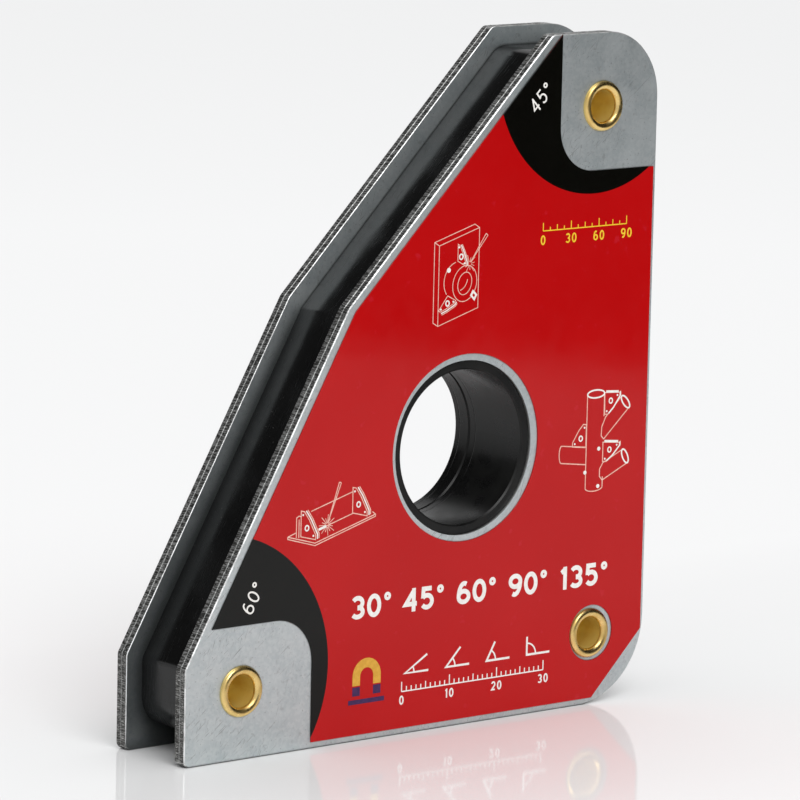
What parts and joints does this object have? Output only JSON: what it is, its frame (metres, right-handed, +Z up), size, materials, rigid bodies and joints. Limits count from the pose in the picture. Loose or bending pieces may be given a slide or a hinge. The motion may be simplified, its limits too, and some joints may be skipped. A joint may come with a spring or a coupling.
{
  "type": "magnetic welding square",
  "caption": "Flat multi-angle magnetic clamp: laminated steel side plates riveted over a moulded magnet spacer, with 45, 60 and 90 degree edges and a lined centre hole.",
  "frame": {"origin": "middle of the bottom edges, under the centre of the bounding box", "axes": "+Z up from the bottom edge it stands on, -Y out of the front face, +X towards the long right-hand edge"},
  "size_m": [0.0954, 0.0188, 0.111],
  "materials": {
    "galvanised_steel": "satin zinc-coated sheet, faintly mottled, with dark punched edges",
    "spacer_plastic": "glossy black moulded plastic",
    "liner_plastic": "satin black moulded plastic",
    "rivet_brass": "polished brass with a warm amber bore",
    "label_vinyl": "glossy red vinyl with two black corner sectors and plain angle figures",
    "ferrite": "dull dark grey sintered ferrite"
  },
  "bodies": {
    "root": {"front_outer_plate": "galvanised_steel", "front_inner_plate": "galvanised_steel", "rear_inner_plate": "galvanised_steel", "rear_outer_plate": "galvanised_steel", "moulded_spacer": "spacer_plastic", "front_liner": "liner_plastic", "rear_liner": "liner_plastic", "rivet_top_right": "rivet_brass", "rivet_bottom_right": "rivet_brass", "rivet_bottom_left": "rivet_brass", "front_label": "label_vinyl", "rear_label": "label_vinyl", "magnet_steep_1": "ferrite", "magnet_steep_2": "ferrite", "magnet_slope_1": "ferrite", "magnet_slope_2": "ferrite", "magnet_right_1": "ferrite", "magnet_right_2": "ferrite", "magnet_right_3": "ferrite", "magnet_bottom_1": "ferrite", "magnet_bottom_2": "ferrite"}
  },
  "joints": []
}
